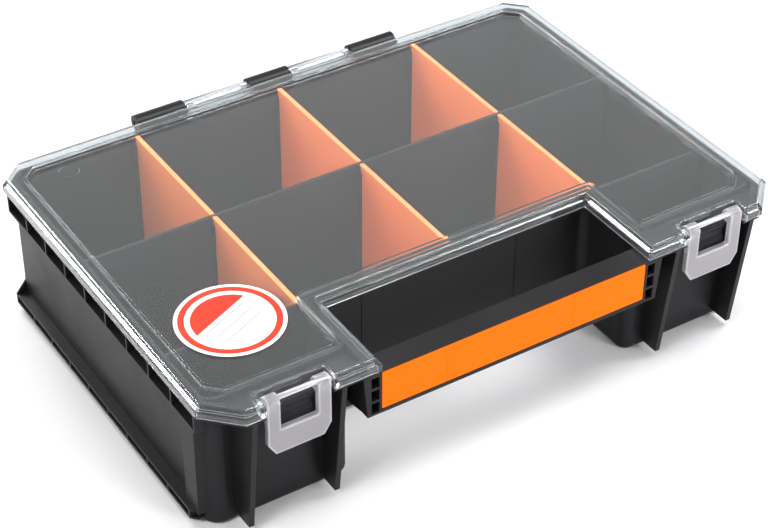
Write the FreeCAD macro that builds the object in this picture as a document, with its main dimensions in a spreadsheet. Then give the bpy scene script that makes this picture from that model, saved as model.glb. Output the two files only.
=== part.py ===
"""Lidded organizer case: a black moulded tray, a clear hinged lid and two clear latches.

Frame: +Z up, +X to the right seen from the front, the front towards -Y. The origin lies under
the middle of the overall box, on the surface that the case stands on. Lengths are in millimetres.
"""
import FreeCAD
import Part
import Sketcher
import math
import os

SIZES = {
    # Lid in plan
    "lid_width": 420.0,
    "lid_depth": 297.0,
    "lid_front_chamfer": 21.5,
    "lid_back_chamfer": 15.5,
    "lobe_width": 112.0,
    "notch_depth": 67.0,
    # Lid in section
    "lid_height": 9.0,
    "lid_band_height": 4.9,
    "lid_bevel_inset": 3.4,
    "lid_skirt_wall": 2.2,
    "lid_top_wall": 2.0,
    "lid_panel_wall": 2.0,
    "lid_step_wall": 1.8,
    # Sunk panel of the lid, measured in from the lid's edges
    "recess_depth": 3.4,
    "recess_side_margin": 14.5,
    "recess_front_margin": 28.0,
    "recess_back_margin": 12.0,
    "recess_notch_margin": 13.0,
    "recess_corner_cut": 9.0,
    "recess_corner_radius": 6.0,
    # How the lid sits on the tray
    "lid_gap": 0.5,
    "panel_gap": 0.3,
    # Tray shell
    "rim_height": 95.5,
    "rim_inset": 7.0,
    "flange_inset": 1.5,
    "flange_wall": 2.0,
    "lip_height": 5.5,
    "tray_wall": 2.2,
    "tray_floor": 2.5,
    "front_wall_setback": 25.5,
    "front_corner_radius": 12.0,
    "lobe_corner_radius": 8.0,
    "notch_corner_radius": 6.0,
    "back_corner_radius": 6.0,
    "tray_back_chamfer": 9.0,
    "foot_radius": 5.0,
    "back_row_depth": 105.7,
    "cell_corner_radius": 3.0,
    # Ribbed channel under the rim along each side
    "rim_channel_reach": 5.0,
    "rim_channel_height": 14.0,
    "rim_channel_front": 27.0,
    "rim_channel_back_margin": 16.0,
    "channel_wall": 1.6,
    "rib_wall": 1.6,
    "rib_count": 10,
    # Ribbed channel at the foot of each side
    "foot_channel_reach": 7.0,
    "foot_channel_height": 7.5,
    "foot_channel_front": 33.0,
    "foot_channel_back_margin": 16.0,
    "foot_channel_corner": 4.0,
    "gusset_height": 10.0,
    # Flat pillar at the front end of each side
    "pillar_front": 31.0,
    "pillar_width": 15.0,
    "pillar_reach": 4.0,
    # Upright fins beside the latches
    "fin_spread": 59.5,
    "fin_wall": 3.5,
    "fin_toe_setback": 11.4,
    # Handle beam across the notch
    "beam_front": 2.0,
    "beam_depth": 16.0,
    "beam_height": 32.0,
    "beam_top_overlap": 12.0,
    "beam_foot_overlap": 9.0,
    "beam_drop": 1.5,
    "beam_wall": 2.2,
    "beam_frame_width": 1.6,
    "beam_cell_width": 5.6,
    "beam_cell_depth": 9.0,
    "beam_cell_count": 3,
    "bracket_drop": 4.0,
    # Orange strip in the front of the handle
    "strip_end_gap": 1.0,
    "strip_height": 28.0,
    "strip_wall": 2.4,
    "strip_gap": 0.25,
    "strip_corner_radius": 1.2,
    # Hinge at the back
    "hinge_reach": 6.5,
    "hinge_height": 98.0,
    "knuckle_radius": 6.0,
    "middle_knuckle_half": 16.0,
    "outer_knuckle_start": 66.5,
    "outer_knuckle_end": 103.0,
    "knuckle_rib_wall": 3.0,
    "knuckle_bracket_drop": 22.0,
    "loop_radius": 4.6,
    "loop_arm_width": 6.0,
    "loop_arm_wall": 5.0,
    "loop_end_gap": 0.4,
    "hinge_pin_radius": 2.0,
    "pin_clearance": 0.05,
    "pin_end_setback": 1.0,
    # Latches
    "latch_side_margin": 57.5,
    "latch_width": 42.5,
    "latch_face": 2.4,
    "latch_wall": 4.0,
    "latch_barrel_radius": 4.6,
    "latch_reach": 37.0,
    "latch_window_width": 25.0,
    "latch_window_foot": 17.5,
    "latch_top_bar": 2.2,
    "latch_cut_width": 5.0,
    "latch_cut_height": 8.0,
    "latch_side_gap": 1.2,
    "latch_back_gap": 0.5,
    "ear_wall": 3.0,
    "trunnion_radius": 2.0,
    "trunnion_reach": 2.6,
    # Catch behind each latch's window
    "catch_width": 23.0,
    "catch_height": 12.0,
    "catch_wall": 2.6,
    "catch_lip": 3.0,
    "catch_hollow": 1.2,
    # Dividers and the ribs that hold them
    "outer_cell_width": 90.8,
    "divider_wall": 1.8,
    "divider_bead_width": 3.2,
    "divider_bead_height": 2.0,
    "divider_gap": 0.3,
    "slot_rib_wall": 1.4,
    "slot_rib_reach": 2.5,
    "slot_rib_drop": 6.0,
    # Round paper label on the lid
    "label_radius": 34.0,
    "label_wall": 0.2,
    "label_side_margin": 57.0,
    "label_place_back": 82.0,
    # Length by which a cut runs past what it cuts
    "overrun": 2.0,
}

# A 45 degree corner cut loses this share of an inset of the outline that it belongs to
CORNER_LOSS_SHARE = 2 - math.sqrt(2)

# Two places closer than this share of the lid's width are taken as the same
SAME_PLACE_SHARE = 1e-6

doc = FreeCAD.newDocument("organizer_case")


class Size:
    """A length with its value and the expression that ties it to the sheet."""

    def __init__(self, value, text):
        self.value = value
        self.text = text

    def __add__(self, other):
        other = as_size(other)
        return Size(self.value + other.value, f"({self.text} + {other.text})")

    def __sub__(self, other):
        other = as_size(other)
        return Size(self.value - other.value, f"({self.text} - {other.text})")

    def __mul__(self, factor):
        factor = as_size(factor)
        return Size(self.value * factor.value, f"({self.text} * {factor.text})")

    def __truediv__(self, factor):
        factor = as_size(factor)
        return Size(self.value / factor.value, f"({self.text} / {factor.text})")

    def __neg__(self):
        return Size(-self.value, f"(-1 * {self.text})")


def as_size(number):
    """A plain number as a Size, so that both can stand in one sum."""
    if isinstance(number, Size):
        return number
    return Size(float(number), repr(number))


class Sheet:
    """The spreadsheet of driving dimensions; each alias reads back as a Size."""

    def __init__(self, values):
        self.values = values
        sheet = doc.addObject("Spreadsheet::Sheet", "Sizes")
        for row, (alias, value) in enumerate(values.items(), 1):
            sheet.set(f"A{row}", alias)
            sheet.set(f"B{row}", str(value))
            sheet.setAlias(f"B{row}", alias)
        doc.recompute()

    def __getattr__(self, alias):
        return Size(self.values[alias], f"Sizes.{alias}")


s = Sheet(SIZES)


# Drawing helpers

def new_body(label, loose=False):
    """An empty body that will hold one moulded piece, or loose features of one."""
    body = doc.addObject("PartDesign::Body", label)
    body.Label = label
    body.AllowCompound = loose
    return body


def hold(sketch, places):
    """Hold coordinates of sketch points at sizes of the sheet."""
    rules = [Sketcher.Constraint(kind, -1, 1, line, point, size.value)
             for kind, line, point, size in places]
    for rule, (kind, line, point, size) in zip(sketch.addConstraint(rules), places):
        sketch.setExpression(f"Constraints[{rule}]", size.text)


def draw_polygon(sketch, points):
    """Closed outline of straight lines through the given points."""
    first = sketch.GeometryCount
    count = len(points)
    corners = [FreeCAD.Vector(x.value, y.value, 0) for x, y in points]
    ends = corners[1:] + corners[:1]
    sketch.addGeometry([Part.LineSegment(*pair) for pair in zip(corners, ends)], False)
    joins = [Sketcher.Constraint("Coincident", first + step, 2, first + (step + 1) % count, 1)
             for step in range(count)]
    sketch.addConstraint(joins)
    across = [("DistanceX", first + step, 1, x) for step, (x, y) in enumerate(points)]
    up = [("DistanceY", first + step, 1, y) for step, (x, y) in enumerate(points)]
    hold(sketch, across + up)


def draw_circle(sketch, x, y, radius):
    """Circle about a point."""
    line = sketch.GeometryCount
    centre = FreeCAD.Vector(x.value, y.value, 0)
    sketch.addGeometry(Part.Circle(centre, FreeCAD.Vector(0, 0, 1), radius.value), False)
    hold(sketch, [("DistanceX", line, 3, x), ("DistanceY", line, 3, y)])
    rule = sketch.addConstraint(Sketcher.Constraint("Radius", line, radius.value))
    sketch.setExpression(f"Constraints[{rule}]", radius.text)


def draw(body, name, plane, level, outlines):
    """Sketch of closed outlines on one of the body's own planes, moved along its normal."""
    sketch = body.newObject("Sketcher::SketchObject", name)
    support = [feature for feature in body.Origin.OriginFeatures if feature.Role == plane][0]
    sketch.AttachmentSupport = [(support, "")]
    sketch.MapMode = "FlatFace"
    sketch.setExpression("AttachmentOffset.Base.z", as_size(level).text)
    for outline in outlines:
        if len(outline) == 3 and isinstance(outline[0], Size):
            draw_circle(sketch, *outline)
        else:
            draw_polygon(sketch, outline)
    return sketch


def extrude(body, kind, name, plane, level, outlines, length, back):
    """Pad or pocket of outlines; back turns it against its usual direction."""
    sketch = draw(body, name + "_outline", plane, level, outlines)
    feature = body.newObject(kind, name)
    feature.Profile = sketch
    feature.setExpression("Length", as_size(length).text)
    feature.Reversed = back
    doc.recompute()
    return feature


def add(body, name, plane, level, outlines, length, back=False):
    """Material along the plane's normal, or against it."""
    return extrude(body, "PartDesign::Pad", name, plane, level, outlines, length, back)


def cut(body, name, plane, level, outlines, length, back=False):
    """Cut against the plane's normal, or along it; it has to take something away."""
    before = body.Shape.Volume
    feature = extrude(body, "PartDesign::Pocket", name, plane, level, outlines, length, back)
    if not body.Shape.Volume < before:
        raise RuntimeError(f"{name} cuts nothing")
    return feature


def round_edges(body, name, radius, chosen):
    """Fillet on the edges of the body that chosen accepts."""
    base = body.Tip
    names = [f"Edge{place}" for place, edge in enumerate(base.Shape.Edges, 1) if chosen(edge)]
    if not names:
        raise RuntimeError(f"{name} finds no edge")
    feature = body.newObject("PartDesign::Fillet", name)
    feature.Base = (base, names)
    feature.setExpression("Radius", radius.text)
    doc.recompute()
    if "Invalid" in feature.State:
        raise RuntimeError(f"{name} cannot be rounded")


def row_along_depth(body, name, feature, length, count):
    """The feature repeated towards the back over a length."""
    axis = [part for part in body.Origin.OriginFeatures if part.Role == "Y_Axis"][0]
    pattern = body.newObject("PartDesign::LinearPattern", name)
    pattern.Originals = [feature]
    pattern.Direction = (axis, [""])
    pattern.setExpression("Length", length.text)
    pattern.setExpression("Occurrences", count.text)
    body.Tip = pattern
    doc.recompute()


def same(a, b):
    """True where two coordinates are the same place."""
    return abs(a - b) < SAME_PLACE_SHARE * s.lid_width.value


def uprights(points, low=None):
    """Test for upright edges over the given plan points, from the level low if it is given."""
    def chosen(edge):
        box = edge.BoundBox
        if not (same(box.XMin, box.XMax) and same(box.YMin, box.YMax)) or same(box.ZMin, box.ZMax):
            return False
        if low is not None and not same(box.ZMin, low.value):
            return False
        return any(same(box.XMin, x.value) and same(box.YMin, y.value) for x, y in points)
    return chosen


def rectangle(left, front, right, back):
    """Four corners of an upright or lying rectangle."""
    return [(left, front), (right, front), (right, back), (left, back)]


def mirrored(outline):
    """The same outline on the other side of the middle plane."""
    return [(-x, y) for x, y in reversed(outline)]


def both_sides(outline):
    """An outline and its mirror image."""
    return [outline, mirrored(outline)]


# Places that several pieces share

front_edge = -(s.lid_depth + s.hinge_reach + s.knuckle_radius) / 2
notch_half = s.lid_width / 2 - s.lobe_width
latch_place = s.lid_width / 2 - s.latch_side_margin
beam_top_half = notch_half + s.beam_top_overlap
beam_foot_half = notch_half + s.beam_foot_overlap
strip_half = notch_half - s.strip_end_gap
lid_bottom = s.rim_height + s.lid_gap
lid_top = lid_bottom + s.lid_height
panel_top = lid_top - s.recess_depth
panel_under = panel_top - s.lid_panel_wall
wall_top = panel_under - s.panel_gap
flange_under = s.rim_height - s.flange_wall


def behind(distance):
    """Place at a distance behind the lid's front edge."""
    return front_edge + distance


def case_outline(side, front, back, notch, notch_back, front_cut=None, back_cut=None):
    """Plan of the case: a rectangle with a notch in the front and optional corner cuts."""
    right = [(notch, front)]
    right += [(side - front_cut, front), (side, front + front_cut)] if front_cut else [(side, front)]
    right += [(side, back - back_cut), (side - back_cut, back)] if back_cut else [(side, back)]
    return right + mirrored(right) + [(-notch, notch_back), (notch, notch_back)]


def lid_outline(inset):
    """Plan of the lid, drawn in all round by the inset."""
    inset = as_size(inset)
    return case_outline(
        side=s.lid_width / 2 - inset,
        front=behind(inset),
        back=behind(s.lid_depth - inset),
        notch=notch_half + inset,
        notch_back=behind(s.notch_depth + inset),
        front_cut=s.lid_front_chamfer - inset * CORNER_LOSS_SHARE,
        back_cut=s.lid_back_chamfer - inset * CORNER_LOSS_SHARE,
    )


def recess_outline(grow):
    """Plan of the lid's sunk panel, grown all round."""
    grow = as_size(grow)
    return case_outline(
        side=s.lid_width / 2 - s.recess_side_margin + grow,
        front=behind(s.recess_front_margin - grow),
        back=behind(s.lid_depth - s.recess_back_margin + grow),
        notch=notch_half + s.recess_notch_margin - grow,
        notch_back=behind(s.notch_depth + s.recess_notch_margin - grow),
        front_cut=s.recess_corner_cut + grow * CORNER_LOSS_SHARE,
        back_cut=s.recess_corner_cut + grow * CORNER_LOSS_SHARE,
    )


# Tray walls: outer faces at the sides, in the notch, at the back and at the front
tray_side = s.lid_width / 2 - s.rim_inset
tray_notch = notch_half + s.rim_inset
tray_notch_back = behind(s.notch_depth + s.rim_inset)
tray_back = behind(s.lid_depth - s.rim_inset)
tray_front = behind(s.front_wall_setback)
inner_side = tray_side - s.tray_wall
inner_notch = tray_notch + s.tray_wall
inner_back = tray_back - s.tray_wall
inner_front = tray_front + s.tray_wall
cross_wall_back = tray_notch_back + s.tray_wall
mid_wall_back = inner_back - s.back_row_depth
mid_wall_front = mid_wall_back - s.tray_wall
divider_pitch = inner_side - s.outer_cell_width

hinge_y = behind(s.lid_depth + s.hinge_reach)
latch_pivot_y = behind(s.latch_face + s.latch_barrel_radius)
latch_pivot_z = lid_top - s.latch_barrel_radius
latch_back_face = behind(s.latch_face + s.latch_wall)
bay_half = s.latch_width / 2 + s.latch_side_gap
bay_back = latch_pivot_y + s.latch_barrel_radius + s.latch_back_gap * 2
ear_outside = bay_half + s.ear_wall
beam_top = s.rim_height - s.beam_drop
beam_foot = beam_top - s.beam_height


# Tray

tray = new_body("base_tray")

tray_corners = case_outline(
    tray_side, tray_front, tray_back, tray_notch, tray_notch_back, back_cut=s.tray_back_chamfer)
add(tray, "tray_block", "XY_Plane", 0, [tray_corners], wall_top)
add(tray, "rim_flange", "XY_Plane", flange_under, [lid_outline(s.flange_inset)], s.flange_wall)

# Compartments: two full-width rows and one cell in each front lobe
inner_chamfer = s.tray_back_chamfer - s.tray_wall * CORNER_LOSS_SHARE
back_row_right = [(inner_side, mid_wall_back), (inner_side, inner_back - inner_chamfer),
                  (inner_side - inner_chamfer, inner_back)]
back_row = back_row_right + mirrored(back_row_right)
middle_row = rectangle(-inner_side, cross_wall_back, inner_side, mid_wall_front)
lobe_cell = rectangle(inner_notch, inner_front, inner_side, tray_notch_back)
cut(tray, "row_tops", "XY_Plane", wall_top, [back_row, middle_row], s.slot_rib_drop)

# Below their tops the rows leave pairs of ribs standing, which hold the ends of the dividers
slot_half = s.divider_wall / 2 + s.divider_gap
slot_outside = slot_half + s.slot_rib_wall


def slotted_wall(wall, reach):
    """Points from left to right along a wall, round the ribs that stand out from it."""
    points = []
    for place in (-1, 0, 1):
        middle = divider_pitch * place
        for start, end in ((-slot_outside, -slot_half), (slot_half, slot_outside)):
            points += [(middle + start, wall), (middle + start, wall + reach),
                       (middle + end, wall + reach), (middle + end, wall)]
    return points


def slotted_row(front, back, front_right, back_right):
    """Plan of a row with ribs on its front and back walls."""
    right = slotted_wall(front, s.slot_rib_reach) + front_right + back_right
    left = mirrored(front_right + back_right)
    return right + slotted_wall(back, -s.slot_rib_reach)[::-1] + left


back_slots = slotted_row(mid_wall_back, inner_back, back_row_right[:1], back_row_right[1:])
middle_slots = slotted_row(cross_wall_back, mid_wall_front, middle_row[1:2], middle_row[2:3])
cells = {"back_row": [back_slots], "middle_row": [middle_slots], "lobe_cells": both_sides(lobe_cell)}
for name, outlines in cells.items():
    cut(tray, name, "XY_Plane", wall_top, outlines, wall_top - s.tray_floor)
row_corners = middle_row + [(inner_side, mid_wall_back), (-inner_side, mid_wall_back)]
lobe_back_corners = [(x, tray_notch_back) for x in (inner_notch, inner_side, -inner_notch, -inner_side)]
round_edges(tray, "cell_corners", s.cell_corner_radius, uprights(row_corners + lobe_back_corners))

# Outer corners, each with the cell corner inside it
shell_corners = {
    "front": (tray_side, tray_front, inner_side, inner_front, s.front_corner_radius),
    "lobe": (tray_notch, tray_front, inner_notch, inner_front, s.lobe_corner_radius),
    "back_side": (tray_side, tray_back - s.tray_back_chamfer,
                  inner_side, inner_back - inner_chamfer, s.back_corner_radius),
    "back": (tray_side - s.tray_back_chamfer, tray_back,
             inner_side - inner_chamfer, inner_back, s.back_corner_radius),
}
for name, (outer_x, outer_y, inner_x, inner_y, radius) in shell_corners.items():
    inner_pair = uprights([(inner_x, inner_y), (-inner_x, inner_y)])
    round_edges(tray, f"{name}_cell_corners", radius - s.tray_wall, inner_pair)
    outer_pair = uprights([(outer_x, outer_y), (-outer_x, outer_y)])
    round_edges(tray, f"{name}_corners", radius, outer_pair)
notch_corners = uprights([(tray_notch, tray_notch_back), (-tray_notch, tray_notch_back)])
round_edges(tray, "notch_corners", s.notch_corner_radius, notch_corners)
round_edges(tray, "foot_edge", s.foot_radius, lambda edge: same(edge.BoundBox.ZMax, 0))


def lip_outline(inset):
    """Plan of the lip: the lid's plan, but round the back it follows the tray's corners."""
    return case_outline(
        side=s.lid_width / 2 - inset,
        front=behind(inset),
        back=behind(s.lid_depth - inset),
        notch=notch_half + inset,
        notch_back=behind(s.notch_depth + inset),
        front_cut=s.lid_front_chamfer - inset * CORNER_LOSS_SHARE,
        back_cut=s.tray_back_chamfer - (inset - s.rim_inset) * CORNER_LOSS_SHARE,
    )


# Lip that stands up inside the lid's skirt
lip_ring = [lip_outline(s.rim_inset), lip_outline(s.rim_inset + s.tray_wall)]
add(tray, "rim_lip", "XY_Plane", s.rim_height, lip_ring, s.lip_height)

# Room for the latches in the rim
bay_front = front_edge - s.overrun
catch_front = latch_back_face + s.latch_back_gap
bay_cut = rectangle(latch_place - bay_half, bay_front, latch_place + bay_half, catch_front)
rim_stack = s.flange_wall + s.lip_height + s.overrun
cut(tray, "latch_bays", "XY_Plane", s.rim_height + s.lip_height, both_sides(bay_cut), rim_stack)
lip_cut_half = ear_outside + s.latch_side_gap
lip_cut = rectangle(
    latch_place - lip_cut_half, bay_front,
    latch_place + lip_cut_half, bay_back + s.ear_wall + s.latch_side_gap)
cut(tray, "lip_gaps", "XY_Plane", s.rim_height + s.lip_height, both_sides(lip_cut), s.lip_height)

# What stands on the shell is drawn in bodies of its own and joined to it at the end
front_works = new_body("tray_front_works", loose=True)
back_works = new_body("tray_back_works", loose=True)
side_works = new_body("tray_side_works", loose=True)

# Upright fins on both sides of each latch, drawn back towards the foot
fin = [
    (behind(s.fin_toe_setback), s.foot_radius),
    (tray_front + s.tray_wall / 2, s.foot_radius),
    (tray_front + s.tray_wall / 2, s.rim_height - s.flange_wall / 2),
    (behind(s.flange_inset), s.rim_height - s.flange_wall / 2),
]
for latch_name, side in (("left", -1), ("right", 1)):
    for fin_name, step in (("near", -1), ("far", 1)):
        middle = latch_place * side + s.fin_spread / 2 * step
        start = middle - s.fin_wall / 2
        add(front_works, f"fin_{latch_name}_{fin_name}", "YZ_Plane", start, [fin], s.fin_wall)

# Handle beam: a bar across the notch, hollow below, with a sunk front for the coloured strip
beam_front = behind(s.beam_front)
beam_back = beam_front + s.beam_depth
beam_end = [
    (-beam_foot_half, beam_foot),
    (beam_foot_half, beam_foot),
    (beam_top_half, beam_top),
    (-beam_top_half, beam_top),
]
add(front_works, "handle_beam", "XZ_Plane", -beam_front, [beam_end], s.beam_depth, back=True)
bracket = [
    (beam_front + s.beam_depth / 2, beam_foot),
    (tray_front + s.lobe_corner_radius, beam_foot - s.bracket_drop),
    (tray_front + s.lobe_corner_radius, s.rim_height - s.flange_wall / 2),
    (beam_front + s.beam_depth / 2, s.rim_height - s.flange_wall / 2),
]
add(front_works, "bracket_right", "YZ_Plane", tray_notch, [bracket], s.tray_wall)
add(front_works, "bracket_left", "YZ_Plane", -inner_notch, [bracket], s.tray_wall)
strip_top = beam_top - s.strip_gap - s.beam_frame_width / 2
strip_foot = strip_top - s.strip_height
strip_seat = rectangle(
    -strip_half - s.strip_gap, strip_foot - s.strip_gap,
    strip_half + s.strip_gap, strip_top + s.strip_gap)
cut(front_works, "strip_seat", "XZ_Plane", -beam_front, [strip_seat], s.strip_wall)
beam_hollow = rectangle(
    -strip_half, beam_front + s.strip_wall + s.beam_wall,
    strip_half, beam_back - s.beam_wall)
hollow_height = s.beam_height - s.beam_wall
cut(front_works, "beam_hollow", "XY_Plane", beam_foot, [beam_hollow], hollow_height, back=True)
cell_start = strip_half + s.strip_gap + s.beam_frame_width
cell_foot = beam_foot + s.beam_frame_width
cell_pitch = (s.beam_height - s.beam_drop - s.beam_frame_width) / s.beam_cell_count
end_cells = []
for step in range(SIZES["beam_cell_count"]):
    low = cell_foot + cell_pitch * step
    cell = rectangle(cell_start, low, cell_start + s.beam_cell_width, low + cell_pitch - s.beam_frame_width)
    end_cells += both_sides(cell)
cut(front_works, "beam_cells", "XZ_Plane", -beam_front, end_cells, s.beam_cell_depth)

# Catch plate behind each latch window, on two ribs
catch_foot = flange_under - s.catch_height
catch_section = [
    (catch_front, catch_foot),
    (catch_front + s.catch_wall + s.catch_hollow, catch_foot),
    (catch_front + s.catch_wall + s.catch_hollow, flange_under),
    (catch_front, flange_under),
    (catch_front + s.catch_hollow, flange_under - s.catch_lip),
    (catch_front + s.catch_hollow, catch_foot + s.catch_lip * 2),
    (catch_front, catch_foot + s.catch_lip),
]
for latch_name, side in (("left", -1), ("right", 1)):
    start = latch_place * side - s.catch_width / 2
    add(front_works, f"catch_{latch_name}", "YZ_Plane", start, [catch_section], s.catch_width)
catch_ribs = []
for start in (latch_place - s.catch_width / 2, latch_place + s.catch_width / 2 - s.rib_wall):
    catch_ribs += both_sides(rectangle(
        start, catch_front + s.catch_wall, start + s.rib_wall, tray_front + s.tray_wall / 2))
add(front_works, "catch_ribs", "XY_Plane", catch_foot, catch_ribs, s.catch_height)

# Hinge knuckles on ribs that stand out from the back wall
knuckle_foot = s.knuckle_radius * math.sqrt(1 / 2)
knuckle_bracket = [
    (tray_back - s.tray_wall / 2, flange_under - s.knuckle_bracket_drop),
    (hinge_y + knuckle_foot, s.hinge_height - knuckle_foot),
    (hinge_y, s.hinge_height),
    (hinge_y - knuckle_foot, s.rim_height),
    (tray_back - s.tray_wall / 2, s.rim_height),
]
knuckle_row_start = -s.outer_knuckle_end
knuckle_row = s.outer_knuckle_end * 2
add(back_works, "knuckle_brackets", "YZ_Plane", knuckle_row_start, [knuckle_bracket], knuckle_row)
knuckle_barrel = (hinge_y, s.hinge_height, s.knuckle_radius)
add(back_works, "knuckle_barrels", "YZ_Plane", knuckle_row_start, [knuckle_barrel], knuckle_row)
knuckle_back = hinge_y + s.knuckle_radius + s.overrun
loop_room = rectangle(
    s.middle_knuckle_half, behind(s.lid_depth - s.flange_inset), s.outer_knuckle_start, knuckle_back)
room_top = s.hinge_height + s.knuckle_radius
room_height = room_top - flange_under
cut(back_works, "loop_rooms", "XY_Plane", room_top, both_sides(loop_room), room_height)
between_ribs = []
rib_spans = [
    (s.outer_knuckle_start, s.outer_knuckle_end),
    (-s.middle_knuckle_half, s.middle_knuckle_half),
    (-s.outer_knuckle_end, -s.outer_knuckle_start),
]
for start, end in rib_spans:
    half_span = (end - start) / 2
    for low in (start, start + half_span - s.knuckle_rib_wall / 2):
        between_ribs.append(rectangle(
            low + s.knuckle_rib_wall, tray_back,
            low + half_span - s.knuckle_rib_wall / 2, knuckle_back))
between_ribs += both_sides(rectangle(
    s.middle_knuckle_half, tray_back, s.outer_knuckle_start, knuckle_back))
bracket_low = flange_under - s.knuckle_bracket_drop
rib_room = flange_under - bracket_low
cut(back_works, "between_knuckle_ribs", "XY_Plane", flange_under, between_ribs, rib_room)
hinge_bore = (hinge_y, s.hinge_height, s.hinge_pin_radius + s.pin_clearance)
bore_start = -s.outer_knuckle_end - s.overrun
bore_length = (s.outer_knuckle_end + s.overrun) * 2
cut(back_works, "knuckle_bore", "YZ_Plane", bore_start, [hinge_bore], bore_length, back=True)

# Channels along each side, one under the rim and one at the foot, drawn in at the front corner
channel_root = tray_side - s.tray_wall / 2
rim_channel_side = tray_side + s.rim_channel_reach
rim_channel_low = flange_under - s.rim_channel_height
rim_front = behind(s.rim_channel_front)
rim_back = behind(s.lid_depth - s.rim_channel_back_margin)
rim_plate = rectangle(channel_root, rim_front, rim_channel_side, rim_back)
add(side_works, "rim_channel_plate", "XY_Plane", rim_channel_low, both_sides(rim_plate), s.channel_wall)
foot_side = tray_side + s.foot_channel_reach
foot_front = behind(s.foot_channel_front)
foot_back = behind(s.lid_depth - s.foot_channel_back_margin)
foot_top = s.foot_radius + s.foot_channel_height
foot_shelf = foot_top - s.channel_wall
foot_plate = [
    (channel_root, foot_front),
    (foot_side - s.foot_channel_corner, foot_front),
    (foot_side, foot_front + s.foot_channel_corner),
    (foot_side, foot_back),
    (channel_root, foot_back),
]
add(side_works, "foot_plate", "XY_Plane", s.foot_radius, both_sides(foot_plate), s.channel_wall)
add(side_works, "foot_shelf", "XY_Plane", foot_shelf, both_sides(foot_plate), s.channel_wall)

# Sloped gusset that closes the back end of each foot channel
gusset = [
    (channel_root, foot_shelf),
    (foot_side, foot_shelf),
    (foot_side, foot_top),
    (channel_root, foot_top + s.gusset_height),
]
add(side_works, "gussets", "XZ_Plane", -foot_back, both_sides(gusset), s.rib_wall)

# Flat pillar at the front end of each side, from the foot channel to the rim channel
pillar = rectangle(
    tray_side - s.tray_wall, behind(s.pillar_front),
    tray_side + s.pillar_reach, behind(s.pillar_front + s.pillar_width))
pillar_height = rim_channel_low + s.channel_wall - foot_shelf
add(side_works, "pillars", "XY_Plane", foot_shelf, both_sides(pillar), pillar_height)

# Upright ribs in the channels
rim_rib = rectangle(channel_root, rim_front, rim_channel_side, rim_front + s.rib_wall)
rib = add(side_works, "rim_rib", "XY_Plane", rim_channel_low, both_sides(rim_rib), s.rim_channel_height)
row_along_depth(side_works, "rim_ribs", rib, rim_back - rim_front - s.rib_wall, s.rib_count)
first_foot_rib = foot_front + s.foot_channel_corner
foot_rib = rectangle(channel_root, first_foot_rib, foot_side, first_foot_rib + s.rib_wall)
rib = add(side_works, "foot_rib", "XY_Plane", s.foot_radius, both_sides(foot_rib), s.foot_channel_height)
row_along_depth(side_works, "foot_ribs", rib, foot_back - first_foot_rib - s.rib_wall, s.rib_count)

# One moulding
joined = tray.newObject("PartDesign::Boolean", "joined_works")
joined.setObjects([front_works, back_works, side_works])
joined.Type = "Fuse"
tray.Tip = joined
doc.recompute()


# Lid

lid = new_body("lid")

add(lid, "lid_band", "XY_Plane", lid_bottom, [lid_outline(0)], s.lid_band_height)
bevel = lid.newObject("PartDesign::AdditiveLoft", "lid_bevel")
bevel_foot = lid_bottom + s.lid_band_height
bevel.Profile = draw(lid, "bevel_foot_outline", "XY_Plane", bevel_foot, [lid_outline(0)])
bevel.Sections = [draw(lid, "bevel_top_outline", "XY_Plane", lid_top, [lid_outline(s.lid_bevel_inset)])]
bevel.Ruled = True
doc.recompute()

# Hollow below the panel, and the channel over the tray's lip
hollow = lid_outline(s.lid_skirt_wall)
cut(lid, "lid_hollow", "XY_Plane", lid_bottom, [hollow], panel_under - lid_bottom, back=True)
channel_ceiling = lid_top - s.lid_top_wall
channel_ring = [lid_outline(s.lid_skirt_wall + s.lid_bevel_inset / 2), recess_outline(s.lid_step_wall)]
cut(lid, "lip_channel", "XY_Plane", panel_under, channel_ring, channel_ceiling - panel_under, back=True)

# Sunk panel
recess_corners = recess_outline(0)
cut(lid, "panel_recess", "XY_Plane", lid_top, [recess_corners], s.recess_depth)
round_edges(lid, "recess_corners", s.recess_corner_radius, uprights(recess_corners, panel_top))

# Latch bays: walls round each, then the bay itself and the holes for the trunnions
bay_walls = rectangle(
    latch_place - ear_outside, behind(s.lid_skirt_wall),
    latch_place + ear_outside, bay_back + s.ear_wall)
add(lid, "bay_walls", "XY_Plane", lid_bottom, both_sides(bay_walls), channel_ceiling - lid_bottom)
lid_bay = rectangle(latch_place - bay_half, bay_front, latch_place + bay_half, bay_back)
bay_depth = s.lid_height + s.overrun * 2
cut(lid, "lid_bays", "XY_Plane", lid_top + s.overrun, both_sides(lid_bay), bay_depth)
trunnion_hole = (latch_pivot_y, latch_pivot_z, s.trunnion_radius + s.pin_clearance)
for latch_name, side in (("left", -1), ("right", 1)):
    hole_start = latch_place * side - ear_outside - s.overrun
    hole_length = (ear_outside + s.overrun) * 2
    cut(lid, f"ear_holes_{latch_name}", "YZ_Plane", hole_start, [trunnion_hole], hole_length, back=True)

# Hinge loops: two arms and a tube round the pin between each pair of knuckles
loop_start = s.middle_knuckle_half + s.loop_end_gap
loop_end = s.outer_knuckle_start - s.loop_end_gap
loop_tube = (hinge_y, s.hinge_height, s.loop_radius)
arm_top = s.hinge_height + s.loop_radius
loop_arm = rectangle(
    behind(s.lid_depth - s.lid_skirt_wall / 2 - s.lid_bevel_inset / 2), arm_top - s.loop_arm_wall,
    hinge_y, arm_top)
for name, start in (("left", -loop_end), ("right", loop_start)):
    length = loop_end - loop_start
    for step, place in enumerate((start, start + length - s.loop_arm_width)):
        add(lid, f"loop_arm_{name}_{step}", "YZ_Plane", place, [loop_arm], s.loop_arm_width)
    add(lid, f"loop_tube_{name}", "YZ_Plane", start, [loop_tube], length)
cut(lid, "loop_bore", "YZ_Plane", bore_start, [hinge_bore], bore_length, back=True)


# Latches: a frame that hangs from a barrel, with a window for the catch

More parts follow.
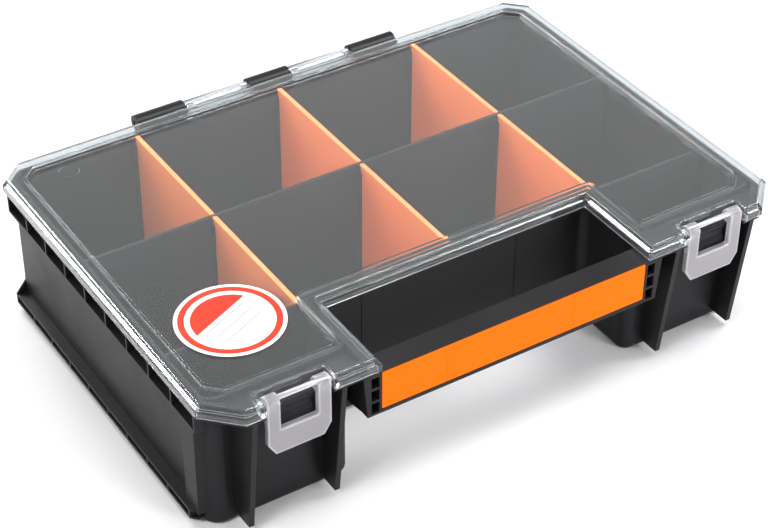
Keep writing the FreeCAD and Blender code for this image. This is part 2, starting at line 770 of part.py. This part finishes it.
def make_latch(label, side):
    """One latch at the given side of the case, with its two trunnions."""
    latch = new_body(label)
    middle = latch_place * side
    left = middle - s.latch_width / 2
    right = middle + s.latch_width / 2
    foot = latch_pivot_z - s.latch_reach
    face = behind(s.latch_face)
    plate = rectangle(face, foot, latch_back_face, latch_pivot_z)
    barrel = (latch_pivot_y, latch_pivot_z, s.latch_barrel_radius)
    add(latch, label + "_plate", "YZ_Plane", left, [plate], s.latch_width)
    add(latch, label + "_barrel", "YZ_Plane", left, [barrel], s.latch_width)
    window = rectangle(
        middle - s.latch_window_width / 2, foot + s.latch_window_foot,
        middle + s.latch_window_width / 2, lid_top - s.latch_top_bar)
    left_corner = [(left - s.overrun, foot - s.overrun), (left + s.latch_cut_width, foot - s.overrun),
                   (left + s.latch_cut_width, foot), (left, foot + s.latch_cut_height),
                   (left - s.overrun, foot + s.latch_cut_height)]
    right_corner = [(middle * 2 - x, z) for x, z in reversed(left_corner)]
    openings = [window, left_corner, right_corner]
    through = latch_pivot_y + s.latch_barrel_radius + s.overrun - face
    cut(latch, label + "_openings", "XZ_Plane", -face, openings, through)
    # Between the arms the barrel is cut away behind a thin bar
    bar_back = rectangle(
        middle - s.latch_window_width / 2, latch_pivot_z,
        middle + s.latch_window_width / 2, lid_top + s.overrun)
    cut(latch, label + "_bar_back", "XZ_Plane", -latch_back_face, [bar_back], through)
    trunnion = (latch_pivot_y, latch_pivot_z, s.trunnion_radius)
    trunnion_length = s.latch_side_gap + s.trunnion_reach
    add(latch, label + "_trunnion_a", "YZ_Plane", left - trunnion_length, [trunnion], trunnion_length)
    add(latch, label + "_trunnion_b", "YZ_Plane", right, [trunnion], trunnion_length)
    return latch


latches = [make_latch("latch_left", -1), make_latch("latch_right", 1)]


# Hinge pin: a plain steel rod

pin = doc.addObject("Part::Cylinder", "hinge_pin")
pin.Label = "hinge_pin"
pin.Placement.Rotation = FreeCAD.Rotation(FreeCAD.Vector(0, 1, 0), 90)
pin.setExpression("Radius", s.hinge_pin_radius.text)
pin.setExpression("Height", ((s.outer_knuckle_end - s.pin_end_setback) * 2).text)
pin.setExpression("Placement.Base.x", (s.pin_end_setback - s.outer_knuckle_end).text)
pin.setExpression("Placement.Base.y", hinge_y.text)
pin.setExpression("Placement.Base.z", s.hinge_height.text)


# Coloured strip in the handle

strip = new_body("handle_insert")
strip_face = rectangle(-strip_half, strip_foot, strip_half, strip_top)
add(strip, "strip_plate", "XZ_Plane", -beam_front, [strip_face], s.strip_wall, back=True)


def along_depth(edge):
    """Test for the edges of the strip that run from front to back."""
    box = edge.BoundBox
    return same(box.XMin, box.XMax) and same(box.ZMin, box.ZMax)


round_edges(strip, "strip_corners", s.strip_corner_radius, along_depth)


# Dividers: thin plates with a bead along the top

def make_divider(label, middle, front, back):
    """One divider between two walls of the tray."""
    divider = new_body(label)
    half = s.divider_wall / 2
    bead_half = s.divider_bead_width / 2
    foot = s.tray_floor + s.divider_gap
    bead_foot = wall_top - s.divider_bead_height
    section = [
        (middle - half, foot),
        (middle + half, foot),
        (middle + half, bead_foot),
        (middle + bead_half, bead_foot),
        (middle + bead_half, wall_top),
        (middle - bead_half, wall_top),
        (middle - bead_half, bead_foot),
        (middle - half, bead_foot),
    ]
    length = back - front - s.divider_gap * 2
    add(divider, label + "_plate", "XZ_Plane", -(front + s.divider_gap), [section], length, back=True)
    return divider


dividers = []
rows = {"back": (mid_wall_back, inner_back), "front": (cross_wall_back, mid_wall_front)}
for row_name, (row_front, row_back) in rows.items():
    for column_name, column in (("left", -1), ("centre", 0), ("right", 1)):
        divider_label = f"divider_{row_name}_{column_name}"
        dividers.append(make_divider(divider_label, divider_pitch * column, row_front, row_back))


# Round paper label on the sunk panel

label = doc.addObject("Part::Cylinder", "round_label")
label.Label = "round_label"
label.setExpression("Radius", s.label_radius.text)
label.setExpression("Height", s.label_wall.text)
label.setExpression("Placement.Base.x", (s.label_side_margin - s.lid_width / 2).text)
label.setExpression("Placement.Base.y", behind(s.label_place_back).text)
label.setExpression("Placement.Base.z", panel_top.text)

doc.recompute()


# Check every object, then write each piece

pieces = [tray, lid] + latches + [pin, strip] + dividers + [label]
for item in doc.Objects:
    if "Invalid" in item.State or "Error" in item.State:
        raise RuntimeError(f"{item.Label} failed: {item.State}")
os.makedirs("parts", exist_ok=True)
for piece in pieces:
    shape = piece.Shape
    if shape.isNull() or not shape.isValid() or len(shape.Solids) != 1:
        raise RuntimeError(f"{piece.Label} is not one valid solid")
    shape.exportStep(f"parts/{piece.Label}.step")
    print(f"{piece.Label}: {shape.Volume:.0f} cubic millimetres, {len(shape.Faces)} faces")
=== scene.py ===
"""Looks of a lidded organizer case with a clear lid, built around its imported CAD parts."""

import math

import bmesh
import bpy
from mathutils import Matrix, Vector


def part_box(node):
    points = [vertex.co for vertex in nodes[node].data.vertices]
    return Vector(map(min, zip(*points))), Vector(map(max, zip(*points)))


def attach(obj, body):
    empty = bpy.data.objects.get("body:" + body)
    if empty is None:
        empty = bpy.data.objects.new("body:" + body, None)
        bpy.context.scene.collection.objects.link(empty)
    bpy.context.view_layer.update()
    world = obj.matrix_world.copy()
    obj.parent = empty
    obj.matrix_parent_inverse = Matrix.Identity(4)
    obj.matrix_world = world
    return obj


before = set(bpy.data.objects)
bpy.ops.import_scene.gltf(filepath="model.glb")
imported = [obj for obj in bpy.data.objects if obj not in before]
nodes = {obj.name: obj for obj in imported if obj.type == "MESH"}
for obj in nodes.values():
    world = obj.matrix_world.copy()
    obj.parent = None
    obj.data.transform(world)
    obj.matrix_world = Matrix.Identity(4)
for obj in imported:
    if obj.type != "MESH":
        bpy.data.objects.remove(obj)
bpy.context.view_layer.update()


# Tray
# The body of the case is one black polypropylene moulding. Its tool was spark eroded, which leaves
# a fine matt grain on the outside, and every moulded edge is slightly rounded.

MM = 0.001
TRAY_BLACK = "#161517"
TRAY_SCUFF = "#252426"
FLOW_SIZE = 45 * MM
MOULDED_EDGE = 0.5 * MM

# The real grain is a few tenths of a millimetre, too fine to show, so it is drawn coarser
GRAIN_SIZE = 1.1 * MM
GRAIN_DEPTH = 0.06 * MM


def linear(hex_colour):
    """An sRGB hex colour as linear red, green, blue and a full alpha."""
    channels = [int(hex_colour[start:start + 2], 16) / 255 for start in (1, 3, 5)]
    flat = [c / 12.92 if c <= 0.04045 else ((c + 0.055) / 1.055) ** 2.4 for c in channels]
    return (*flat, 1.0)


def add_node(tree, kind, values=None, links=None, **properties):
    """A shader node with its settings, the values of its sockets and what feeds them."""
    node = tree.nodes.new(kind)
    for name, value in properties.items():
        setattr(node, name, value)
    for socket, value in (values or {}).items():
        node.inputs[socket].default_value = value
    for socket, source in (links or {}).items():
        tree.links.new(source, node.inputs[socket])
    return node


def new_material(name):
    """An empty material: its node tree, its shader and the place that its patterns are read from."""
    material = bpy.data.materials.new(name)
    material.use_nodes = True
    tree = material.node_tree
    shader = tree.nodes["Principled BSDF"]
    place = add_node(tree, "ShaderNodeTexCoord").outputs["Object"]
    return material, tree, shader, place


def dress(node_name, material):
    """Give a CAD node one material."""
    piece = nodes[node_name]
    piece.data.materials.clear()
    piece.data.materials.append(material)
    return piece


# Black moulded polypropylene: satin, with a slight grain, slow changes of gloss and tone from the flow,
# and a soft line of light along its rounded edges
polypropylene, tree, shader, place = new_material("black moulded polypropylene")
grain = add_node(tree, "ShaderNodeTexNoise", {"Scale": 1 / GRAIN_SIZE, "Detail": 3.0}, {"Vector": place})
flow = add_node(tree, "ShaderNodeTexNoise", {"Scale": 1 / FLOW_SIZE, "Detail": 4.0}, {"Vector": place})
tone = add_node(tree, "ShaderNodeMix", {6: linear(TRAY_BLACK), 7: linear(TRAY_SCUFF)},
                {0: flow.outputs["Fac"]}, data_type="RGBA")
gloss = add_node(tree, "ShaderNodeMapRange",
                 {"From Min": 0.3, "From Max": 0.7, "To Min": 0.32, "To Max": 0.44},
                 {"Value": flow.outputs["Fac"]})
rounded = add_node(tree, "ShaderNodeBevel", {"Radius": MOULDED_EDGE}, samples=4)
relief = add_node(tree, "ShaderNodeBump", {"Strength": 0.04, "Distance": GRAIN_DEPTH},
                  {"Height": grain.outputs["Fac"], "Normal": rounded.outputs["Normal"]})
tree.links.new(tone.outputs[2], shader.inputs["Base Color"])
tree.links.new(gloss.outputs["Result"], shader.inputs["Roughness"])
tree.links.new(relief.outputs["Normal"], shader.inputs["Normal"])
shader.inputs["IOR"].default_value = 1.49
shader.inputs["Specular IOR Level"].default_value = 0.13
dress("base_tray", polypropylene)

# Two thin upright beads on the wall behind the handle, where the inserts of the mould met
BEAD_PLACES = (-66 * MM, 50 * MM)
BEAD_WIDTH = 0.7 * MM
BEAD_REACH = 0.4 * MM
BEAD_FOOT = 8 * MM
BEAD_TOP = 93 * MM
NOTCH_WALL = -80.75 * MM
BEAD_HEIGHT = BEAD_TOP - BEAD_FOOT
BEAD_MIDDLE = (BEAD_TOP + BEAD_FOOT) / 2

bead_mesh = bpy.data.meshes.new("notch_beads")
shape = bmesh.new()
for bead_place in BEAD_PLACES:
    made = bmesh.ops.create_cube(shape, size=1.0)
    bmesh.ops.scale(shape, vec=(BEAD_WIDTH, BEAD_REACH * 2, BEAD_HEIGHT), verts=made["verts"])
    bmesh.ops.translate(shape, vec=(bead_place, NOTCH_WALL, BEAD_MIDDLE), verts=made["verts"])
bmesh.ops.bevel(shape, geom=shape.edges[:], offset=BEAD_WIDTH / 4, segments=2, profile=0.5,
                affect="EDGES", material=-1)
shape.to_mesh(bead_mesh)
shape.free()
beads = bpy.data.objects.new("notch_beads", bead_mesh)
bpy.context.scene.collection.objects.link(beads)
bead_mesh.materials.append(polypropylene)
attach(beads, "base")


# Dividers
# Six plates of orange polypropylene, each with a bead along its top, dropped into the tray's slots.
# They are thin enough to let a little light through.

DIVIDER_ORANGE = "#FF8244"
DIVIDER_PALE = "#FF8E51"
DIVIDER_EDGE = 0.3 * MM
DIVIDER_FLOW = 60 * MM
SMOOTH_DEPTH = 0.05 * MM
LIGHT_REACH = 2 * MM

JOIN_REACH = 0.002 * MM
FLAT_ANGLE = math.radians(0.2)
SHARP_ANGLE = math.radians(35)


def round_moulded_edges(piece, width):
    """Join the loose triangles into whole faces and round the sharp edges a little, as moulding does."""
    weld = piece.modifiers.new("joined", "WELD")
    weld.merge_threshold = JOIN_REACH
    whole = piece.modifiers.new("whole faces", "DECIMATE")
    whole.decimate_type = "DISSOLVE"
    whole.angle_limit = FLAT_ANGLE
    bevel = piece.modifiers.new("moulded edge", "BEVEL")
    bevel.width = width
    bevel.segments = 3
    bevel.profile = 0.5
    bevel.limit_method = "ANGLE"
    bevel.angle_limit = SHARP_ANGLE
    bevel.use_clamp_overlap = False
    bevel.loop_slide = False
    bevel.harden_normals = True


# Orange moulded polypropylene: soft in tone where light goes a little way in, with a slight grain
divider_plastic, tree, shader, place = new_material("orange moulded polypropylene")
flow = add_node(tree, "ShaderNodeTexNoise", {"Scale": 1 / DIVIDER_FLOW, "Detail": 2.0}, {"Vector": place})
tone = add_node(tree, "ShaderNodeMix", {6: linear(DIVIDER_ORANGE), 7: linear(DIVIDER_PALE)},
                {0: flow.outputs["Fac"]}, data_type="RGBA")
grain = add_node(tree, "ShaderNodeTexNoise", {"Scale": 1 / GRAIN_SIZE, "Detail": 2.0}, {"Vector": place})
relief = add_node(tree, "ShaderNodeBump", {"Strength": 0.15, "Distance": SMOOTH_DEPTH},
                  {"Height": grain.outputs["Fac"]})
tree.links.new(tone.outputs[2], shader.inputs["Base Color"])
tree.links.new(relief.outputs["Normal"], shader.inputs["Normal"])
shader.inputs["Roughness"].default_value = 0.42
shader.inputs["IOR"].default_value = 1.49
shader.inputs["Specular IOR Level"].default_value = 0.12
shader.inputs["Subsurface Weight"].default_value = 0.25
shader.inputs["Subsurface Radius"].default_value = (1.0, 0.4, 0.15)
shader.inputs["Subsurface Scale"].default_value = LIGHT_REACH
for row in ("back", "front"):
    for column in ("left", "centre", "right"):
        round_moulded_edges(dress(f"divider_{row}_{column}", divider_plastic), DIVIDER_EDGE)


# Handle strip
# A strip of orange plastic is pressed into the sunk front of the carry beam. Its satin face shows
# two faint upright joints.

STRIP_ORANGE = "#FF6A00"
STRIP_DEEP = "#F76300"
STRIP_EDGE = 0.4 * MM
JOINT_ORANGE = "#D85600"
LEFT_JOINT = -51 * MM
RIGHT_JOINT = 42 * MM
JOINT_HALF = 0.25 * MM

# Orange satin plastic: an even deep colour with little shine
strip_plastic, tree, shader, place = new_material("orange satin plastic")
flow = add_node(tree, "ShaderNodeTexNoise", {"Scale": 1 / DIVIDER_FLOW, "Detail": 2.0}, {"Vector": place})
tone = add_node(tree, "ShaderNodeMix", {6: linear(STRIP_ORANGE), 7: linear(STRIP_DEEP)},
                {0: flow.outputs["Fac"]}, data_type="RGBA")
grain = add_node(tree, "ShaderNodeTexNoise", {"Scale": 1 / GRAIN_SIZE, "Detail": 2.0}, {"Vector": place})
relief = add_node(tree, "ShaderNodeBump", {"Strength": 0.15, "Distance": SMOOTH_DEPTH},
                  {"Height": grain.outputs["Fac"]})
across = add_node(tree, "ShaderNodeSeparateXYZ", None, {"Vector": place})
left_joint = add_node(tree, "ShaderNodeMath", {1: LEFT_JOINT, 2: JOINT_HALF}, {0: across.outputs["X"]},
                      operation="COMPARE")
right_joint = add_node(tree, "ShaderNodeMath", {1: RIGHT_JOINT, 2: JOINT_HALF}, {0: across.outputs["X"]},
                       operation="COMPARE")
joint = add_node(tree, "ShaderNodeMath", None, {0: left_joint.outputs[0], 1: right_joint.outputs[0]},
                 operation="MAXIMUM")
jointed = add_node(tree, "ShaderNodeMix", {7: linear(JOINT_ORANGE)},
                   {0: joint.outputs[0], 6: tone.outputs[2]}, data_type="RGBA")
tree.links.new(jointed.outputs[2], shader.inputs["Base Color"])
tree.links.new(relief.outputs["Normal"], shader.inputs["Normal"])
shader.inputs["Roughness"].default_value = 0.45
shader.inputs["IOR"].default_value = 1.5
shader.inputs["Specular IOR Level"].default_value = 0.06
round_moulded_edges(dress("handle_insert", strip_plastic), STRIP_EDGE)


# Hinge pin
# A drawn steel rod that runs through the knuckles at the back. Only its ends show.

STEEL_GREY = "#B9B9BC"
DRAWN_STRETCH = (0.02, 1.0, 1.0)

# Drawing lines are finer than this on a real rod, and are drawn coarser so that they show
DRAWN_LINE = 0.6 * MM

# Drawn steel: a metal shine broken into fine lines along the rod
steel, tree, shader, place = new_material("drawn steel")
stretch = add_node(tree, "ShaderNodeMapping", {"Scale": DRAWN_STRETCH}, {"Vector": place})
lines = add_node(tree, "ShaderNodeTexNoise", {"Scale": 1 / DRAWN_LINE, "Detail": 2.0},
                 {"Vector": stretch.outputs["Vector"]})
gloss = add_node(tree, "ShaderNodeMapRange", {"To Min": 0.25, "To Max": 0.4},
                 {"Value": lines.outputs["Fac"]})
tree.links.new(gloss.outputs["Result"], shader.inputs["Roughness"])
shader.inputs["Base Color"].default_value = linear(STEEL_GREY)
shader.inputs["Metallic"].default_value = 1.0
dress("hinge_pin", steel)


# Lid
# The lid is one clear moulding of polycarbonate with a sunk panel, bays for the latches and two
# hinge loops. Its polished tool leaves it glossy, with a slight haze.

LID_TINT = "#E4E9EB"
LID_EDGE = 0.6 * MM
LID_HAZE = 60 * MM

# Round mark that the mould leaves near the back left corner of the panel
MARK_MIDDLE = (-166.6 * MM, 118.2 * MM, 0.0)
MARK_RADIUS = 6.5 * MM
MARK_HALF = 0.4 * MM
MARK_DEPTH = 0.5 * MM

# Clear polycarbonate: mirror bright and see-through, with a haze that comes and goes
clear_plastic, tree, shader, place = new_material("clear moulded polycarbonate")
haze = add_node(tree, "ShaderNodeTexNoise", {"Scale": 1 / LID_HAZE, "Detail": 2.0}, {"Vector": place})
gloss = add_node(tree, "ShaderNodeMapRange",
                 {"From Min": 0.3, "From Max": 0.7, "To Min": 0.0, "To Max": 0.012},
                 {"Value": haze.outputs["Fac"]})
tree.links.new(gloss.outputs["Result"], shader.inputs["Roughness"])
from_mark = add_node(tree, "ShaderNodeMapping", {"Location": MARK_MIDDLE}, {"Vector": place},
                     vector_type="TEXTURE")
flat = add_node(tree, "ShaderNodeVectorMath", {1: (1, 1, 0)}, {0: from_mark.outputs["Vector"]},
                operation="MULTIPLY")
reach = add_node(tree, "ShaderNodeVectorMath", None, {0: flat.outputs["Vector"]}, operation="LENGTH")
mark = add_node(tree, "ShaderNodeMath", {1: MARK_RADIUS, 2: MARK_HALF}, {0: reach.outputs["Value"]},
                operation="COMPARE")
marked = add_node(tree, "ShaderNodeBump", {"Strength": 1.0, "Distance": MARK_DEPTH},
                  {"Height": mark.outputs[0]})
tree.links.new(marked.outputs["Normal"], shader.inputs["Normal"])
shader.inputs["Base Color"].default_value = linear(LID_TINT)
shader.inputs["IOR"].default_value = 1.5
shader.inputs["Transmission Weight"].default_value = 0.99
round_moulded_edges(dress("lid", clear_plastic), LID_EDGE)

# Light from the lamps passes the clear plastic, so the lid throws no shadow on what is inside
nodes["lid"].visible_shadow = False


# Latches
# Two frames of the same clear plastic with a frosted face. They hang from the lid on trunnions and
# swing up to let it open.

LATCH_FROST = "#BDBBC0"
# White of the painted highlight along the latches' edges, and how far in from an edge it reaches
LATCH_PAINTED_HIGHLIGHT = "#FFFFFF"
PAINTED_HIGHLIGHT_REACH = 2.4 * MM
LATCH_EDGE = 0.5 * MM
FROST_DEPTH = 0.06 * MM

# Frost is finer than this, and is drawn coarser so that it shows
FROST_SIZE = 0.9 * MM

# Frosted polycarbonate: milky and half see-through, with a painted highlight along its edges, where the
# base colour is whitened to stand in for light caught on the rims
frosted_plastic, tree, shader, place = new_material("frosted clear polycarbonate")
frost = add_node(tree, "ShaderNodeTexNoise", {"Scale": 1 / FROST_SIZE, "Detail": 2.0}, {"Vector": place})
relief = add_node(tree, "ShaderNodeBump", {"Strength": 0.2, "Distance": FROST_DEPTH},
                  {"Height": frost.outputs["Fac"]})
tree.links.new(relief.outputs["Normal"], shader.inputs["Normal"])
# Painted highlight: the more the rounded normal turns away from the true one near an edge, the whiter the
# base colour is made
rounded = add_node(tree, "ShaderNodeBevel", {"Radius": PAINTED_HIGHLIGHT_REACH}, samples=8)
facing = add_node(tree, "ShaderNodeNewGeometry")
turned = add_node(tree, "ShaderNodeVectorMath", None,
                  {0: rounded.outputs["Normal"], 1: facing.outputs["True Normal"]}, operation="DOT_PRODUCT")
painted_highlight_mask = add_node(tree, "ShaderNodeMapRange", {"From Min": 0.995, "From Max": 0.94},
               {"Value": turned.outputs["Value"]})
tone = add_node(tree, "ShaderNodeMix", {6: linear(LATCH_FROST), 7: linear(LATCH_PAINTED_HIGHLIGHT)},
                {0: painted_highlight_mask.outputs["Result"]}, data_type="RGBA")
tree.links.new(tone.outputs[2], shader.inputs["Base Color"])
shader.inputs["Roughness"].default_value = 0.22
shader.inputs["IOR"].default_value = 1.5
shader.inputs["Transmission Weight"].default_value = 0.6
for side in ("left", "right"):
    round_moulded_edges(dress(f"latch_{side}", frosted_plastic), LATCH_EDGE)


# Label
# A round sticker of white film, stuck on the lid's panel. It is printed with a coral ring and header,
# and with blank writing lines.

LABEL_WHITE = "#F5F3F1"
LABEL_CORAL = "#E03A24"
LABEL_INK = "#9B9A9C"
LABEL_TURN = math.radians(24)
RING_INSIDE = 27.5 * MM
RING_OUTSIDE = 31.5 * MM
HEADER_LOW = 7 * MM
HEADER_INSIDE = 24 * MM
LINE_PITCH = 7 * MM
LINE_HALF = 0.4 * MM
LINE_REACH = 17 * MM
LINES_LOW = -17 * MM
LINES_MIDDLE = HEADER_LOW / 2 + LINES_LOW / 2
LINES_HALF = HEADER_LOW / 2 - LINES_LOW / 2

label_low, label_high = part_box("round_label")
label_middle = (label_low + label_high) / 2

# Coated white film: flat bright print under a weak sheen
label_film, tree, shader, place = new_material("printed white film")
turned = add_node(tree, "ShaderNodeMapping", {"Location": label_middle, "Rotation": (0, 0, LABEL_TURN)},
                  {"Vector": place}, vector_type="TEXTURE")
across = add_node(tree, "ShaderNodeSeparateXYZ", None, {"Vector": turned.outputs["Vector"]})
flat = add_node(tree, "ShaderNodeCombineXYZ", None,
                {"X": across.outputs["X"], "Y": across.outputs["Y"]})
reach = add_node(tree, "ShaderNodeVectorMath", None, {0: flat.outputs["Vector"]}, operation="LENGTH")
in_ring = add_node(tree, "ShaderNodeMath", {1: RING_OUTSIDE}, {0: reach.outputs["Value"]},
                   operation="LESS_THAN")
past_ring = add_node(tree, "ShaderNodeMath", {1: RING_INSIDE}, {0: reach.outputs["Value"]},
                     operation="GREATER_THAN")
ring = add_node(tree, "ShaderNodeMath", None, {0: in_ring.outputs[0], 1: past_ring.outputs[0]},
                operation="MULTIPLY")
near = add_node(tree, "ShaderNodeMath", {1: HEADER_INSIDE}, {0: reach.outputs["Value"]},
                operation="LESS_THAN")
high = add_node(tree, "ShaderNodeMath", {1: HEADER_LOW}, {0: across.outputs["Y"]},
                operation="GREATER_THAN")
header = add_node(tree, "ShaderNodeMath", None, {0: near.outputs[0], 1: high.outputs[0]},
                  operation="MULTIPLY")
coral = add_node(tree, "ShaderNodeMath", None, {0: ring.outputs[0], 1: header.outputs[0]},
                 operation="MAXIMUM")
row = add_node(tree, "ShaderNodeMath", {1: LINE_PITCH}, {0: across.outputs["Y"]},
               operation="FLOORED_MODULO")
line = add_node(tree, "ShaderNodeMath", {1: LINE_PITCH / 2, 2: LINE_HALF}, {0: row.outputs[0]},
                operation="COMPARE")
middle = add_node(tree, "ShaderNodeMath", {1: 0.0, 2: LINE_REACH}, {0: across.outputs["X"]},
                  operation="COMPARE")
below = add_node(tree, "ShaderNodeMath", {1: LINES_MIDDLE, 2: LINES_HALF}, {0: across.outputs["Y"]},
                 operation="COMPARE")
strokes = add_node(tree, "ShaderNodeMath", None, {0: line.outputs[0], 1: middle.outputs[0]},
                   operation="MULTIPLY")
writing = add_node(tree, "ShaderNodeMath", None, {0: strokes.outputs[0], 1: below.outputs[0]},
                   operation="MULTIPLY")
lined = add_node(tree, "ShaderNodeMix", {6: linear(LABEL_WHITE), 7: linear(LABEL_INK)},
                 {0: writing.outputs[0]}, data_type="RGBA")
printed = add_node(tree, "ShaderNodeMix", {7: linear(LABEL_CORAL)},
                   {0: coral.outputs[0], 6: lined.outputs[2]}, data_type="RGBA")
tree.links.new(printed.outputs[2], shader.inputs["Base Color"])
shader.inputs["Roughness"].default_value = 0.35
shader.inputs["Specular IOR Level"].default_value = 0.15
dress("round_label", label_film)


# Floor, light and camera
# A pale floor under soft studio light, and the camera at the photograph's place.

FLOOR_PALE = "#F2F1F3"
FLOOR_REACH = 6.0
WALL_SIDE = (0.42, 0.66, 0.62)
WALL_START = 0.3
WALL_FULL = 0.75
WALL_LIGHT = 1.0
ROOM_LIGHT = 0.35

floor_mesh = bpy.data.meshes.new("floor")
shape = bmesh.new()
bmesh.ops.create_grid(shape, x_segments=1, y_segments=1, size=FLOOR_REACH)
shape.to_mesh(floor_mesh)
shape.free()
floor = bpy.data.objects.new("floor", floor_mesh)
bpy.context.scene.collection.objects.link(floor)
floor_paint, tree, shader, place = new_material("pale floor")
shader.inputs["Base Color"].default_value = linear(FLOOR_PALE)
shader.inputs["Roughness"].default_value = 0.6
floor_mesh.materials.append(floor_paint)

world = bpy.data.worlds.new("studio")
bpy.context.scene.world = world
world.use_nodes = True
backdrop = world.node_tree.nodes["Background"]
backdrop.inputs["Color"].default_value = (1.0, 1.0, 1.0, 1.0)

# A bright wall behind the case, which the lid's panel mirrors, in a dimmer room
look = add_node(world.node_tree, "ShaderNodeTexCoord").outputs["Generated"]
facing = add_node(world.node_tree, "ShaderNodeVectorMath", {1: WALL_SIDE}, {0: look},
                  operation="DOT_PRODUCT")
glow = add_node(world.node_tree, "ShaderNodeMapRange",
                {"From Min": WALL_START, "From Max": WALL_FULL, "To Min": ROOM_LIGHT, "To Max": WALL_LIGHT},
                {"Value": facing.outputs["Value"]}, interpolation_type="SMOOTHSTEP")
world.node_tree.links.new(glow.outputs["Result"], backdrop.inputs["Strength"])


def add_light(name, place, target, size, power, length=None):
    """A soft box, square or with a length, that points at a target."""
    light = bpy.data.lights.new(name, "AREA")
    light.shape = "RECTANGLE"
    light.size = size
    light.size_y = length or size
    light.energy = power
    lamp = bpy.data.objects.new(name, light)
    lamp.location = place
    lamp.rotation_euler = (Vector(target) - Vector(place)).to_track_quat("-Z", "Y").to_euler()
    bpy.context.scene.collection.objects.link(lamp)
    return lamp


# Four soft boxes that light the case. They are kept out of its reflections, where the lid's flat panel
# would mirror them as white patches.
CASE_MIDDLE = (0, 0, 0.05)
BOX_SIZE = 0.6
soft_boxes = [add_light("left soft box", (-1.3, -0.5, 1.3), CASE_MIDDLE, BOX_SIZE, 13.0),
              add_light("right soft box", (0.76, -0.36, 1.58), CASE_MIDDLE, BOX_SIZE, 12.0),
              add_light("back soft box", (-0.18, 1.19, 1.34), CASE_MIDDLE, BOX_SIZE, 12.0),
              add_light("front soft box", (0.6, -1.65, 0.5), CASE_MIDDLE, BOX_SIZE, 24.0)]
for box in soft_boxes:
    box.visible_glossy = False
    box.visible_transmission = False

# Two long strips, which draw the clear edges of the lid as light lines and shine through it. Each runs
# from 0 to 1 both ways, is full in its core, and fades towards its borders as a diffuser does.
LID_LEVEL = (0, 0, 0.1)
LAMP_MIDDLE = 0.5
LAMP_BORDER = 0.5
LAMP_CORE = 0.3


def fade_borders(lamp):
    """Let a strip's light fall away towards its borders, so that its mirror image has no hard outline."""
    lamp.data.use_nodes = True
    tree = lamp.data.node_tree
    spot = add_node(tree, "ShaderNodeNewGeometry")
    sides = add_node(tree, "ShaderNodeSeparateXYZ", None, {"Vector": spot.outputs["Parametric"]})
    fades = []
    for side in ("X", "Y"):
        off_middle = add_node(tree, "ShaderNodeMath", {1: LAMP_MIDDLE}, {0: sides.outputs[side]},
                              operation="SUBTRACT")
        to_border = add_node(tree, "ShaderNodeMath", None, {0: off_middle.outputs[0]}, operation="ABSOLUTE")
        fade = add_node(tree, "ShaderNodeMapRange", {"From Min": LAMP_BORDER, "From Max": LAMP_CORE},
                        {"Value": to_border.outputs[0]}, interpolation_type="SMOOTHSTEP")
        fades.append(fade.outputs["Result"])
    both = add_node(tree, "ShaderNodeMath", None, {0: fades[0], 1: fades[1]}, operation="MULTIPLY")
    tree.links.new(both.outputs[0], tree.nodes["Emission"].inputs["Strength"])


strips = [add_light("overhead strip", (0.86, -0.5, 1.6), LID_LEVEL, 0.5, 94.0, 2.0),
          add_light("rear strip", (-0.47, 1.2, 1.05), LID_LEVEL, 1.4, 70.0, 0.5)]
for strip in strips:
    strip.visible_diffuse = False
    fade_borders(strip)

camera_data = bpy.data.cameras.new("camera")
camera_data.lens = 97.43
camera_data.sensor_width = 36.0
camera_data.shift_x = 0.0180
camera_data.shift_y = -0.0038
camera = bpy.data.objects.new("camera", camera_data)
camera.location = (-0.5942, -0.9256, 0.8789)
camera.rotation_euler = [math.radians(angle) for angle in (52.529, -0.065, -32.255)]
bpy.context.scene.collection.objects.link(camera)
bpy.context.scene.camera = camera
bpy.context.scene.view_settings.view_transform = "Standard"

bpy.context.view_layer.update()
